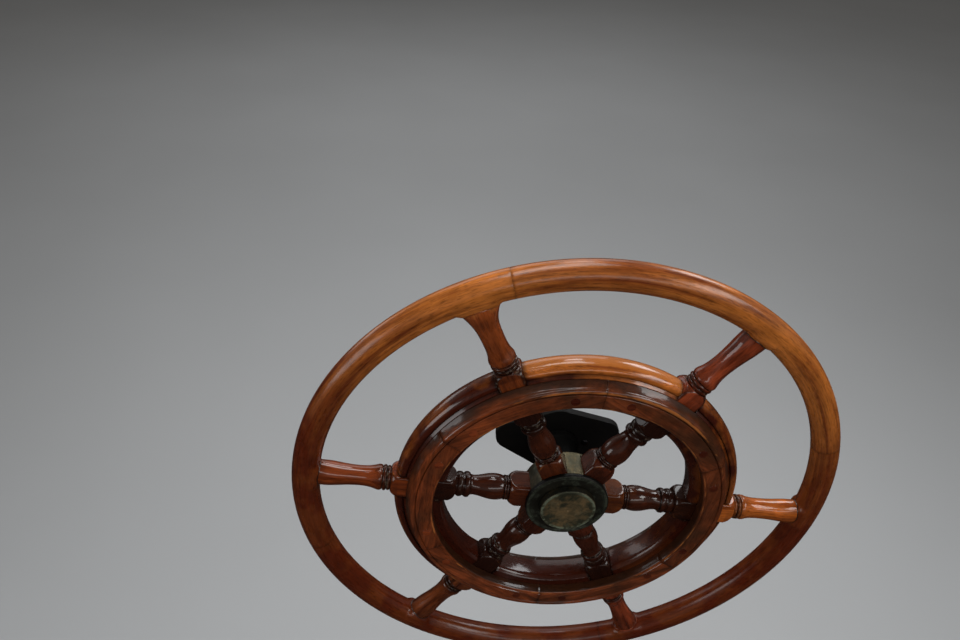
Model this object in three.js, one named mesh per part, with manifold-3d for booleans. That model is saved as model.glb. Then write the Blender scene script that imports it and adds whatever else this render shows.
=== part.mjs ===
// A yacht's steering wheel: six turned spokes run from a bronze hub, through a moulded felloe ring,
// to a round outer hand rim. The wheel turns on a steel shaft in a bearing housing, which stands on a
// black plate that is screwed to the helm bulkhead.
// Millimetres, +Z up. The origin is where the shaft's axis meets the bulkhead. The helmsman is at -Y.
import * as THREE from 'three';
import { mergeVertices } from 'three/addons/utils/BufferGeometryUtils.js';
import Module from 'manifold-3d';

const wasm = await Module();
wasm.setup();

// Driving dimensions
const RIM_OUTER = 305; // the nominal 24 inch wheel
const RIM_TUBE = 15; // radius of the rim's round section
const STANDOFF = 85; // from the bulkhead to the wheel's middle plane
const WHEEL_TURN = 22.8; // degrees that the first spoke leans from upright, as the wheel was left
const SPOKES = 6;
const STOCK = 29; // side of the square that each spoke is turned from
const FIT = 0.3; // gap between pieces that touch

// The felloe: a thick middle layer, and a thinner moulded facing on each side of it
const FELLOE_INNER = 139.5;
const FELLOE_OUTER = 193;
const FELLOE_HALF = 15; // half the middle layer's thickness
const ROLL_DEPTH = 7.5; // how far the middle layer's rounded edge falls away at its corners
const FACING_THICK = 12.5;
const FACING_INNER = 149.5;
const FACING_FOOT = 179.5; // outer radius where a facing lies on the middle layer
const FACING_FACE = 173.5; // outer radius of a facing's flat front
const FACING_EDGE = 2.5; // height of a facing's foot, and how far its inner edge is eased
const RIM_SEGMENTS = 4;
const RIM_JOINT = -7.8; // degrees from the first spoke to a rim joint

// The hub
const HUB_RADIUS = 46;
const HUB_BACK = 20; // from the middle plane to the hub's rear face
const HUB_PLATE = 4.5; // thickness of the plate that shuts the spokes in
const SOCKET_DEPTH = 29.3; // radius at which a spoke's socket ends
const HUB_LIP = 1.5; // how far the front plate's rim is eased
const CAP_RADIUS = 31;
const CAP_HEIGHT = 7.8;
const CAP_EASE = 1.8; // how far the cap's worn edge falls away

// The shaft and what it turns in
const SHAFT_RADIUS = 9.5;
const BUSH_RADIUS = 13;
const HOUSING_FRONT = 21; // outer radius of the housing at its nose
const HOUSING_FOOT = 26;
const HOUSING_LENGTH = 38;
const PLATE_THICK = 9;
const PLATE_WIDE = 75; // half the plate's width
const PLATE_TOP = 54;
const PLATE_BOTTOM = -48;
const PLATE_BEVEL = 1.5;
const SCREW_SPREAD = 34; // from the axis to each plate screw
const SCREW_RISE = 3;
const SCREW_HEAD = 4.5; // radius of a screw's head
const RUNNING_FIT = 0.4; // clearance between the shaft and its bush

const rad = THREE.MathUtils.degToRad;
const finish = (color, roughness, metalness) => (
  new THREE.MeshStandardMaterial({ color, roughness, metalness })
);
const RIM_WOOD = finish(0x8a4a22, 0.28, 0);
const SPOKE_WOOD = finish(0x6a2c16, 0.25, 0);
const FELLOE_WOOD = finish(0x74371a, 0.28, 0);
const FACING_WOOD = finish(0x5e2f1a, 0.35, 0);
const BRONZE = finish(0x4a4a38, 0.5, 0.9);
const CAP_BRONZE = finish(0x8a7c52, 0.4, 0.9);
const STEEL = finish(0xb8bcc0, 0.3, 1);
const BLACK = finish(0x141414, 0.55, 0);

// A closed geometry as a solid, and a solid as a geometry.
function solid(geometry) {
  const bare = geometry.clone();
  for (const name of ['normal', 'uv']) bare.deleteAttribute(name);
  const merged = mergeVertices(bare, 1e-3);
  return new wasm.Manifold(new wasm.Mesh({
    numProp: 3,
    vertProperties: new Float32Array(merged.attributes.position.array),
    triVerts: new Uint32Array(merged.index.array),
  }));
}

function geometryOf(body) {
  const mesh = body.getMesh();
  const geometry = new THREE.BufferGeometry();
  geometry.setAttribute('position', new THREE.BufferAttribute(new Float32Array(mesh.vertProperties), 3));
  geometry.setIndex(new THREE.BufferAttribute(new Uint32Array(mesh.triVerts), 1));
  geometry.computeVertexNormals();
  return geometry;
}

function piece(name, geometry, material) {
  const mesh = new THREE.Mesh(geometry, material);
  mesh.name = name;
  return mesh;
}

// A profile of [radius, place along the axis] pairs, turned about Y.
const turned = (profile, sides, start = 0) => (
  new THREE.LatheGeometry(profile.map(([r, y]) => new THREE.Vector2(r, y)), sides, start)
);

// Points of a quarter or half round: centre, radii and the angles in degrees, in the profile's plane.
const arc = (r, y, radiusR, radiusY, from, to, steps) => Array.from({ length: steps + 1 }, (_, i) => {
  const angle = rad(from + ((to - from) * i) / steps);
  return [r + radiusR * Math.cos(angle), y + radiusY * Math.sin(angle)];
});

// A wedge about Y between two angles, which are counted from +X towards +Z. Both its sides stand back by
// half a gap.
function wedge(from, to, gap) {
  const reach = 2 * RIM_OUTER;
  const apex = gap / 2 / Math.sin(rad((to - from) / 2));
  const middle = rad((from + to) / 2);
  const start = new THREE.Vector2(Math.cos(middle), Math.sin(middle)).multiplyScalar(apex);
  const corners = [start];
  const steps = 4;
  for (let i = 0; i <= steps; i++) {
    const angle = rad(from + ((to - from) * i) / steps);
    corners.push(new THREE.Vector2(Math.cos(angle), Math.sin(angle)).multiplyScalar(reach).add(start));
  }
  const outline = new THREE.Shape(corners);
  const geometry = new THREE.ExtrudeGeometry(outline, { depth: reach, bevelEnabled: false });
  return solid(geometry.translate(0, 0, -reach / 2).rotateX(Math.PI / 2));
}

// The box that a spoke's square block fills, with the fitting gap round it. It points along an angle.
function blockSpace(angle, from, to, front, back) {
  const geometry = new THREE.BoxGeometry(to - from, back - front, STOCK + 2 * FIT);
  geometry.translate((from + to) / 2, (front + back) / 2, 0);
  return solid(geometry.rotateY(-rad(angle)));
}

const spokeAngle = (k) => 90 + (360 / SPOKES) * k;

// The outer hand rim: a round section in four equal lengths, butted end to end.
function rim() {
  const ring = solid(new THREE.TorusGeometry(RIM_OUTER - RIM_TUBE, RIM_TUBE, 12, 72).rotateX(Math.PI / 2));
  const group = new THREE.Group();
  for (let k = 0; k < RIM_SEGMENTS; k++) {
    const from = 90 + RIM_JOINT + (360 / RIM_SEGMENTS) * k;
    const part = ring.intersect(wedge(from, from + 360 / RIM_SEGMENTS, FIT));
    group.add(piece(`rim_segment_${k + 1}`, geometryOf(part), RIM_WOOD));
  }
  return group;
}

// The felloe's middle layer: one length between each pair of spoke blocks, its outer edge a half round.
function felloeSegments() {
  const roll = arc(FELLOE_OUTER - ROLL_DEPTH, 0, ROLL_DEPTH, FELLOE_HALF, -90, 90, 6);
  const corner = [FELLOE_INNER, -FELLOE_HALF];
  const ring = solid(turned([corner, ...roll, [FELLOE_INNER, FELLOE_HALF], corner], 60));
  const group = new THREE.Group();
  for (let k = 0; k < SPOKES; k++) {
    const from = spokeAngle(k);
    const to = spokeAngle(k + 1);
    let part = ring.intersect(wedge(from, to, FIT));
    for (const end of [from, to]) {
      part = part.subtract(blockSpace(end, FELLOE_INNER - 5, FELLOE_OUTER + 5, -STOCK, STOCK));
    }
    group.add(piece(`felloe_segment_${k + 1}`, geometryOf(part), FELLOE_WOOD));
  }
  return group;
}

// One facing: six lengths that meet midway between the spokes. side is -1 in front and 1 behind.
function facing(side, label) {
  const foot = side * (FELLOE_HALF + FIT);
  const face = side * (FELLOE_HALF + FACING_THICK);
  const moulding = [
    [FACING_INNER, foot],
    [FACING_FOOT, foot],
    [FACING_FOOT, foot + side * FACING_EDGE],
    [FACING_FACE + 2.5, foot + side * 5],
    [FACING_FACE + 1.5, face - side * 3],
    [FACING_FACE, face],
    [FACING_INNER + FACING_EDGE, face],
    [FACING_INNER, face - side * FACING_EDGE],
    [FACING_INNER, foot],
  ];
  const ring = solid(turned(side < 0 ? moulding.reverse() : moulding, 60));
  const group = new THREE.Group();
  for (let k = 0; k < SPOKES; k++) {
    const from = spokeAngle(k) - 180 / SPOKES;
    const part = ring.intersect(wedge(from, from + 360 / SPOKES, FIT));
    group.add(piece(`${label}_facing_${k + 1}`, geometryOf(part), FACING_WOOD));
  }
  return group;
}

// A spoke's envelope, as [distance from the wheel's centre, radius]. Where the radius is over half the
// stock's diagonal, the stock's square is left: at the hub and through the felloe.
const SQUARE = STOCK * 0.75;
const SPOKE_PROFILE = [
  [SOCKET_DEPTH + FIT, SQUARE], [51, SQUARE], // hub block
  [54, 20.5], [58, 19.3], [61.5, 17.8], [64, 16.0], [65.8, 12.6], // its rounded shoulder
  [67.3, 13.7], [70.3, 13.8], [71.8, 12.5], // bead
  [75, 13.8], [83, 14.6], [89, 14.0], [97, 12.1], [105, 10.9], [109.6, 12.4], // baluster
  [113, 14.3], [117.1, 12.7], [121.3, 14.0], [125, 12.4], // two beads
  [125.6, 12.5], [127, 15.8], [129.5, 17.9], [133, 19.6], [136, 20.5], // shoulder
  [138, SQUARE], [185, SQUARE], // felloe block
  [187, 20.5], [190, 19.5], [193.5, 17.9], [196, 16.0], [197.6, 12.5], // shoulder
  [199.8, 13.6], [201.9, 12.8], [204.2, 14.2], [206.6, 12.6], // two beads
  [209.6, 14.1], [216.5, 12.4], [223, 11.2], [231, 10.8], [240, 11.0], // handle
  [250, 12.0], [262, 13.5], [273, 14.3], [284, 14.5],
];

function spokeGeometry() {
  const outline = SPOKE_PROFILE.map(([s, r]) => [r, s]);
  const [inner, outer] = [outline[0][1], outline.at(-1)[1]];
  const geometry = turned([[0, inner], ...outline, [0, outer]], 12, Math.PI / 12);
  // Each point outside the stock's square comes in to its side.
  const place = geometry.attributes.position;
  for (let i = 0; i < place.count; i++) {
    const reach = Math.max(Math.abs(place.getX(i)), Math.abs(place.getZ(i)));
    const shrink = Math.min(1, STOCK / 2 / Math.max(reach, 1e-6));
    place.setXYZ(i, place.getX(i) * shrink, place.getY(i), place.getZ(i) * shrink);
  }
  // The outer end is scribed round the rim.
  const rimSpace = solid(new THREE.TorusGeometry(RIM_OUTER - RIM_TUBE, RIM_TUBE + FIT, 12, 72));
  return geometryOf(solid(geometry).subtract(rimSpace));
}

function spokes() {
  const group = new THREE.Group();
  const shape = spokeGeometry();
  for (let k = 0; k < SPOKES; k++) {
    const arm = new THREE.Group();
    const spoke = piece(`spoke_${k + 1}`, shape, SPOKE_WOOD);
    spoke.rotation.x = Math.PI / 2;
    arm.rotation.y = Math.PI / 2 - rad(spokeAngle(k));
    arm.add(spoke);
    group.add(arm);
  }
  return group;
}

// The bronze hub: a drum with six sockets open to the front, the plate that shuts them, and a cap.
function hub() {
  const through = 60; // longer than the hub each way
  const loose = SHAFT_RADIUS + FIT;
  const bore = solid(turned([[0, -through], [loose, -through], [loose, through], [0, through]], 24));
  const front = -STOCK / 2 - FIT;
  const outer = HUB_RADIUS;
  let drum = solid(turned([
    [0, front], [outer, front], [outer, HUB_BACK - 2], [outer - 2, HUB_BACK], [0, HUB_BACK],
  ], 48));
  for (let k = 0; k < SPOKES; k++) {
    const socket = blockSpace(spokeAngle(k), SOCKET_DEPTH, 2 * outer, front - 5, STOCK / 2 + FIT);
    drum = drum.subtract(socket);
  }
  const plateBack = front - FIT;
  const plateFront = plateBack - HUB_PLATE;
  const lip = outer + 0.5;
  const eased = plateFront + HUB_LIP;
  const plate = solid(turned([
    [0, plateFront], [lip - HUB_LIP, plateFront], [lip, eased], [lip, plateBack], [0, plateBack],
  ], 48));
  const capBack = plateFront - FIT;
  const capFront = capBack - CAP_HEIGHT;
  const cap = turned([
    [0, capFront], [CAP_RADIUS - CAP_EASE, capFront], [CAP_RADIUS, capFront + CAP_EASE],
    [CAP_RADIUS + 0.5, capBack], [0, capBack],
  ], 48);
  const group = new THREE.Group();
  group.add(piece('hub_drum', geometryOf(drum.subtract(bore)), BRONZE));
  group.add(piece('hub_front_plate', geometryOf(plate.subtract(bore)), BRONZE));
  group.add(piece('hub_cap', geometryOf(solid(cap)), CAP_BRONZE));
  return group;
}

// The shaft ends behind the cap in front, and inside the closed housing behind.
function shaft() {
  const front = -STANDOFF - STOCK / 2 - HUB_PLATE;
  const back = -PLATE_THICK - 2 * FIT;
  const ease = 1;
  const profile = [
    [0, front], [SHAFT_RADIUS - ease, front], [SHAFT_RADIUS, front + ease], [SHAFT_RADIUS, back], [0, back],
  ];
  return piece('shaft', turned(profile, 24), STEEL);
}

// The fixed pieces: the plate, the bearing housing on it and the bush that carries the shaft.
function bearing() {
  const foot = -PLATE_THICK - FIT;
  const nose = foot - HOUSING_LENGTH;
  const seat = BUSH_RADIUS + FIT;
  const housing = turned([
    [seat, nose], [HOUSING_FRONT - 3, nose], [HOUSING_FRONT, nose + 3], [HOUSING_FRONT + 1, foot - 10],
    [HOUSING_FOOT, foot - 2], [HOUSING_FOOT, foot], [seat, foot], [seat, nose],
  ], 36);
  const running = SHAFT_RADIUS + RUNNING_FIT;
  const bush = turned([
    [running, nose - 3], [BUSH_RADIUS, nose - 3], [BUSH_RADIUS, foot], [running, foot], [running, nose - 3],
  ], 24);
  const head = turned([
    [0, foot - 2], [SCREW_HEAD - 1.5, foot - 2], [SCREW_HEAD, foot - 0.8], [SCREW_HEAD, foot], [0, foot],
  ], 16);
  const group = new THREE.Group();
  group.add(plate());
  for (const [k, x] of [SCREW_SPREAD, -SCREW_SPREAD].entries()) {
    const screw = piece(`plate_screw_${k + 1}`, head, STEEL);
    screw.position.set(x, 0, SCREW_RISE);
    group.add(screw);
  }
  group.add(piece('bearing_housing', housing, BLACK));
  group.add(piece('bearing_bush', bush, CAP_BRONZE));
  return group;
}

// The plate's outline is a shield: shallow shoulders, short sides, and long lower edges to a blunt foot.
// Each row of its right half is where a curve ends and the point that it bends towards.
const CREST = [12, PLATE_TOP - 3];
const PLATE_RIGHT = [
  { end: [20, -38], bend: [8, PLATE_BOTTOM] },
  { end: [66, -4], bend: [43, -21] },
  { end: [PLATE_WIDE, 14], bend: [PLATE_WIDE, 2] },
  { end: [58, 36], bend: [PLATE_WIDE, 31] },
  { end: CREST, bend: [35, 43.5] },
];

function plate() {
  const outline = new THREE.Shape();
  outline.moveTo(0, PLATE_BOTTOM);
  for (const { end, bend } of PLATE_RIGHT) outline.quadraticCurveTo(...bend, ...end);
  outline.quadraticCurveTo(0, PLATE_TOP + 3, -CREST[0], CREST[1]);
  const starts = [[0, PLATE_BOTTOM], ...PLATE_RIGHT.map(({ end }) => end)];
  for (let k = PLATE_RIGHT.length - 1; k >= 0; k--) {
    const { bend } = PLATE_RIGHT[k];
    outline.quadraticCurveTo(-bend[0], bend[1], -starts[k][0], starts[k][1]);
  }
  const geometry = new THREE.ExtrudeGeometry(outline, {
    depth: PLATE_THICK - PLATE_BEVEL,
    bevelThickness: PLATE_BEVEL,
    bevelSize: PLATE_BEVEL,
    bevelOffset: -PLATE_BEVEL,
    bevelSegments: 1,
    curveSegments: 4,
  });
  // Only the front is bevelled: the extrusion's back bevel is cut off at the bulkhead.
  const block = solid(geometry.rotateX(Math.PI / 2));
  const room = new THREE.BoxGeometry(4 * PLATE_WIDE, PLATE_THICK, 4 * PLATE_WIDE);
  const cut = block.intersect(solid(room.translate(0, -PLATE_THICK / 2, 0)));
  return piece('bulkhead_plate', geometryOf(cut), BLACK);
}

const wheel = new THREE.Group();
wheel.position.y = -STANDOFF;
wheel.rotation.y = -rad(WHEEL_TURN);
wheel.add(rim(), felloeSegments(), facing(-1, 'front'), facing(1, 'rear'), spokes(), hub());

const helm = new THREE.Group();
helm.add(bearing(), shaft(), wheel);

export default helm;
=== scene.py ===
"""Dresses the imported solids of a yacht's varnished steering wheel.

Metres, +Z up. The wheel's axis runs along Y, its front faces -Y and the bulkhead is the plane Y = 0.
Angles round the wheel are counted from +X towards +Z, so 90 degrees is straight up.
"""
import math
from collections import namedtuple

import bmesh
import bpy
from bpy.props import FloatProperty, FloatVectorProperty, PointerProperty
from mathutils import Matrix, Vector, noise


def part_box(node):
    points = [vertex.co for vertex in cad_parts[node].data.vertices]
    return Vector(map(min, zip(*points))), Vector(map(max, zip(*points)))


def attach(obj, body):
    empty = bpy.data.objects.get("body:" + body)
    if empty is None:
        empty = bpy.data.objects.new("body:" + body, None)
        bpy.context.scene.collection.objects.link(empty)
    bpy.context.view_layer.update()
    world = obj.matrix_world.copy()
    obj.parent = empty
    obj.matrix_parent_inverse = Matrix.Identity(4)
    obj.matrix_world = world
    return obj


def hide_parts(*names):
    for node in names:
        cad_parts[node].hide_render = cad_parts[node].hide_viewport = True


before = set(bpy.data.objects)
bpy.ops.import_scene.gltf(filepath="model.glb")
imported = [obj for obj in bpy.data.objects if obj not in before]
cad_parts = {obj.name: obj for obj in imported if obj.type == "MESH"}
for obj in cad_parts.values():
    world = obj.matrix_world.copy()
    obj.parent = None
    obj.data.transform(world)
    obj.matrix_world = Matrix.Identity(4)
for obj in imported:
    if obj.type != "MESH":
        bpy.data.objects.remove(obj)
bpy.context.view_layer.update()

bl_info = {
    "name": "Yacht Steering Wheel",
    "version": (1, 0, 0),
    "blender": (4, 5, 0),
    "location": "View3D > Sidebar > Wheel",
    "description": "Builds and finishes the pieces of a varnished wooden steering wheel on its bronze hub",
    "category": "Add Mesh",
}

MM = 0.001
SPOKES = 6
SPOKE_STEP = 360 / SPOKES  # degrees from spoke to spoke
RIM_LENGTHS = 4

# The frame says where the wheel sits and how thick its pieces are.
RIM_LOW, RIM_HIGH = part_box("rim_segment_1")
CENTRE = Vector((0, (RIM_LOW.y + RIM_HIGH.y) / 2, 0))
DRUM_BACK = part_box("hub_drum")[1].y
HUB_PLATE_LOW, HUB_PLATE_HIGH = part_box("hub_front_plate")
CAP_LOW, CAP_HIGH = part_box("hub_cap")
SHAFT_LOW, SHAFT_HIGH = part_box("shaft")
HOUSING_LOW, HOUSING_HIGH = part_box("bearing_housing")
BUSH_LOW, BUSH_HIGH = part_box("bearing_bush")
PLATE_LOW, PLATE_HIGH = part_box("bulkhead_plate")
FELLOE_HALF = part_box("felloe_segment_1")[1].y - CENTRE.y
FACING_FACE = CENTRE.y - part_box("front_facing_1")[0].y

# How the wheel was left turned, and where the rim's lengths are butted, in degrees.
WHEEL_TURN = 22.8
FIRST_SPOKE = 90 + WHEEL_TURN
FIRST_RIM_JOINT = FIRST_SPOKE - 7.8


def linear(code):
    """An sRGB hex colour as linear red, green and blue."""
    parts = [int(code[i:i + 2], 16) / 255 for i in (1, 3, 5)]
    return tuple(c / 12.92 if c <= 0.04045 else ((c + 0.055) / 1.055) ** 2.4 for c in parts)


def length(name, description, millimetres):
    """A size that a user can change, shown as a length."""
    return FloatProperty(name=name, description=description, default=millimetres * MM, unit="LENGTH",
                         precision=4)


def colour(name, description, code):
    """A colour that a user can change."""
    return FloatVectorProperty(name=name, description=description, default=linear(code), subtype="COLOR",
                               size=3, min=0, max=1)


class WheelSizes(bpy.types.PropertyGroup):
    """Sizes of the wheel's pieces."""
    rim_radius: length("Rim radius", "From the axis to the outside of the hand rim", 305)
    rim_tube: length("Rim section", "Radius of the hand rim's round section", 15)
    stock: length("Spoke stock", "Side of the square that each spoke is turned from", 29)
    felloe_inner: length("Felloe bore", "Inner radius of the felloe's middle layer", 139.5)
    felloe_outer: length("Felloe radius", "Outer radius of the felloe's rounded edge", 193)
    facing_inner: length("Facing bore", "Inner radius of the moulded facings", 149.5)
    facing_foot: length("Facing foot", "Outer radius of a facing where it lies on the felloe", 179.5)
    facing_face: length("Facing face", "Outer radius of a facing's flat face", 173.5)
    plug_radius: length("Plug radius", "Radius of the wooden plugs over the facings' screws", 5)
    hub_radius: length("Hub radius", "Outer radius of the bronze hub", 46)
    cap_radius: length("Cap radius", "Outer radius of the cap on the hub", 31)
    shaft_radius: length("Shaft radius", "Radius of the steel shaft", 9.5)
    bush_radius: length("Bush radius", "Outer radius of the shaft's bush", 13)
    housing_radius: length("Housing radius", "Outer radius of the bearing housing at its nose", 21)
    fit: length("Fit", "Gap between pieces that touch", 0.3)


class WheelColours(bpy.types.PropertyGroup):
    """Colours of the wheel's finishes."""
    rim: colour("Rim", "Varnished wood of the hand rim", "#B0662A")
    rim_dark: colour("Rim, dark", "Darker figure in the hand rim", "#6E3414")
    spoke: colour("Spoke", "Varnished wood of the spokes", "#763A1A")
    spoke_dark: colour("Spoke, dark", "Darker figure in the spokes", "#4A1F0E")
    felloe: colour("Felloe", "Varnished wood of the felloe", "#C46E2A")
    felloe_dark: colour("Felloe, dark", "Darker figure in the felloe", "#7C3814")
    facing: colour("Facing", "Weathered varnished wood of the facings", "#7C3A1A")
    facing_dark: colour("Facing, dark", "Darker figure in the facings", "#45200F")
    # old is also the colour that painted shade darkens the wood towards.
    old: colour("Old varnish", "Wood under varnish that has gone dark", "#42170A")
    raw: colour("Bare wood", "Wood where the varnish has worn thin", "#B66E34")
    grime: colour("Grime", "Old varnish and dirt in the turned grooves", "#120A07")
    bronze: colour("Bronze", "Dark patina on the hub", "#2B2922")
    brass: colour("Worn bronze", "Bronze that hands have kept clear", "#7A6540")
    verdigris: colour("Verdigris", "Pale green tarnish on the hub's edges", "#8C9A84")
    black: colour("Black", "Black enamel of the plate", "#161616")
    steel: colour("Steel", "Shaft and screws", "#A9ACAF")
    floor: colour("Floor", "Studio floor", "#C5C8CB")


def sizes():
    return bpy.context.scene.wheel_sizes


def colours():
    return bpy.context.scene.wheel_colours


# Geometry

def turn_to(degrees):
    """Turns what is made along +X to an angle round the wheel, about the wheel's axis."""
    about = Matrix.Translation(CENTRE)
    return about @ Matrix.Rotation(-math.radians(degrees), 4, "Y") @ about.inverted()


def radial(degrees):
    """The direction from the wheel's axis out at an angle."""
    return Vector((math.cos(math.radians(degrees)), 0, math.sin(math.radians(degrees))))


def round_wheel(point):
    """How far a point is from the wheel's axis, and its angle round the wheel in degrees."""
    return math.hypot(point.x, point.z), math.degrees(math.atan2(point.z, point.x))


def apart(angle, other):
    """How many degrees lie between two angles round the wheel."""
    return abs((angle - other + 180) % 360 - 180)


def arc(centre, radii, start, end, steps):
    """Points of an elliptical arc in the plane of a profile."""
    points = []
    for i in range(steps + 1):
        angle = math.radians(start + (end - start) * i / steps)
        points.append((centre[0] + radii[0] * math.cos(angle), centre[1] + radii[1] * math.sin(angle)))
    return points


def through(points, steps):
    """A smooth curve through the points, with some steps between each pair."""
    ends = [points[0], *points, points[-1]]
    curve = []
    for before, a, b, after in zip(ends, ends[1:], ends[2:], ends[3:]):
        for i in range(steps):
            t = i / steps
            curve.append(tuple(
                0.5 * (2 * q + (r - p) * t + (2 * p - 5 * q + 4 * r - s) * t ** 2
                       + (3 * q - p - 3 * r + s) * t ** 3)
                for p, q, r, s in zip(before, a, b, after)
            ))
    return curve + [points[-1]]


def profile_edges(bm, outline, closed):
    """The outline's (radius, place along Y) points as a chain of edges in the plane Z = 0."""
    verts = [bm.verts.new((r, y, 0)) for r, y in outline]
    pairs = list(zip(verts, verts[1:]))
    if closed:
        pairs.append((verts[-1], verts[0]))
    return verts + [bm.edges.new(pair) for pair in pairs]


def turned(outline, steps=96, closed=False):
    """A solid turned about the wheel's axis. An open outline starts and ends on the axis."""
    bm = bmesh.new()
    chain = profile_edges(bm, outline, closed)
    bmesh.ops.spin(bm, geom=chain, cent=(0, 0, 0), axis=(0, -1, 0), angle=math.tau, steps=steps,
                   use_merge=True)
    bmesh.ops.remove_doubles(bm, verts=bm.verts, dist=0.001 * MM)
    bmesh.ops.recalc_face_normals(bm, faces=bm.faces)
    return bm


def ring_length(outline, start, end, steps, ends_bevel):
    """One length of a ring: the closed outline swept between two angles and capped, its end edges eased."""
    bm = bmesh.new()
    chain = profile_edges(bm, outline, True)
    bmesh.ops.rotate(bm, verts=bm.verts, cent=CENTRE, matrix=Matrix.Rotation(-math.radians(start), 3, "Y"))
    bmesh.ops.spin(bm, geom=chain, cent=CENTRE, axis=(0, -1, 0), angle=math.radians(end - start),
                   steps=steps)
    cap_ends(bm, ends_bevel)
    return bm


def cap_ends(bm, bevel):
    """Closes every open loop with a face and eases its edges."""
    rims = [edge for edge in bm.edges if edge.is_boundary]
    bmesh.ops.holes_fill(bm, edges=rims, sides=0)
    bmesh.ops.recalc_face_normals(bm, faces=bm.faces)
    if bevel:
        rims = [edge for edge in rims if edge.is_valid]
        bmesh.ops.bevel(bm, geom=rims, offset=bevel, offset_type="OFFSET", affect="EDGES", segments=2,
                        profile=0.5, material=-1, clamp_overlap=True)


def cut_square(bm, point, outward):
    """Cuts away all that lies past a plane and leaves the cut open."""
    everything = [*bm.verts, *bm.edges, *bm.faces]
    bmesh.ops.bisect_plane(bm, geom=everything, plane_co=point, plane_no=outward, clear_outer=True,
                           dist=0.0001 * MM)


def stand_at(bm, degrees):
    """Moves what is made along +X from the origin to its angle round the wheel."""
    bmesh.ops.translate(bm, verts=bm.verts, vec=CENTRE)
    bmesh.ops.transform(bm, matrix=turn_to(degrees), verts=bm.verts)


# The wear also carries painted highlights, and the aged varnish painted shade.
AMOUNTS = ("grime", "wear_and_glint", "aged_and_shade")  # what each point of the wood carries, from 0 to 1


def mark(bm, describe):
    """Gives each point its plank place, grime, wear with painted highlights, and aged varnish with painted
    shade.
    """
    grain = bm.verts.layers.float_vector.new("grain")
    layers = [bm.verts.layers.float.new(name) for name in AMOUNTS]
    for vert in bm.verts:
        vert[grain], *amounts = describe(vert.co)
        for layer, amount in zip(layers, amounts):
            vert[layer] = min(max(amount, 0), 1)


def near(value, middle, width):
    """1 at the middle, falling smoothly to 0 about two widths away."""
    return math.exp(-(((value - middle) / width) ** 2))


def smooth(t):
    """0 below 0, 1 above 1, and an even rise between."""
    t = min(max(t, 0), 1)
    return t * t * (3 - 2 * t)


def settle(bm, name, body, nodes, material, sharp=35):
    """Makes the mesh a piece that rides on a body, and stands for the nodes that it is finer than."""
    mesh = bpy.data.meshes.new(name)
    bm.to_mesh(mesh)
    bm.free()
    mesh.shade_smooth()
    mesh.set_sharp_from_angle(angle=math.radians(sharp))
    mesh.materials.append(material)
    piece = bpy.data.objects.new(name, mesh)
    bpy.context.scene.collection.objects.link(piece)
    if nodes:
        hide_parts(*nodes)
    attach(piece, body)


def carve(bm, cutters):
    """Subtracts boxes, each (size, matrix), from a closed mesh."""
    body = bpy.data.meshes.new("carved")
    bm.to_mesh(body)
    bm.free()
    tool = bmesh.new()
    for size, matrix in cutters:
        bmesh.ops.create_cube(tool, size=1, matrix=matrix @ Matrix.Diagonal((*size, 1)))
    blade = bpy.data.meshes.new("blade")
    tool.to_mesh(blade)
    tool.free()
    pair = [bpy.data.objects.new(mesh.name, mesh) for mesh in (body, blade)]
    for item in pair:
        bpy.context.scene.collection.objects.link(item)
    cut = pair[0].modifiers.new("cut", "BOOLEAN")
    cut.operation = "DIFFERENCE"
    cut.solver = "EXACT"
    cut.object = pair[1]
    result = bmesh.new()
    result.from_object(pair[0], bpy.context.evaluated_depsgraph_get())
    for item in pair:
        mesh = item.data
        bpy.data.objects.remove(item)
        bpy.data.meshes.remove(mesh)
    bmesh.ops.remove_doubles(result, verts=result.verts, dist=0.01 * MM)
    return result


# Materials

def add(tree, kind, links=None, stops=None, **settings):
    """Adds a node. Links give each input, by name or number, a value, a socket or a node's first output."""
    made = tree.nodes.new("ShaderNode" + kind)
    for key, value in settings.items():
        setattr(made, key, value)
    for key, value in (links or {}).items():
        if isinstance(value, bpy.types.Node):
            value = value.outputs[0]
        if isinstance(value, bpy.types.NodeSocket):
            tree.links.new(value, made.inputs[key])
        else:
            made.inputs[key].default_value = value
    if stops:
        ramp = made.color_ramp
        while len(ramp.elements) < len(stops):
            ramp.elements.new(1)
        for element, (place, shade) in zip(ramp.elements, stops):
            element.position = place
            element.color = (*shade, 1) if isinstance(shade, tuple) else (shade, shade, shade, 1)
    return made


def new_material(name, finish, *looks, **ways):
    """A new material. The finish, one of the functions below, adds its nodes and returns its shader."""
    material = bpy.data.materials.new(name)
    material.use_nodes = True
    tree = material.node_tree
    tree.nodes.clear()
    add(tree, "OutputMaterial", {"Surface": finish(tree, *looks, **ways)})
    return material


def every(millimetres):
    """The texture scale that repeats about once in this many millimetres."""
    return 1 / (millimetres * MM)


def times(shade, strength):
    """The same colour, so many times as strong."""
    return tuple(strength * part for part in shade)


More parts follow.
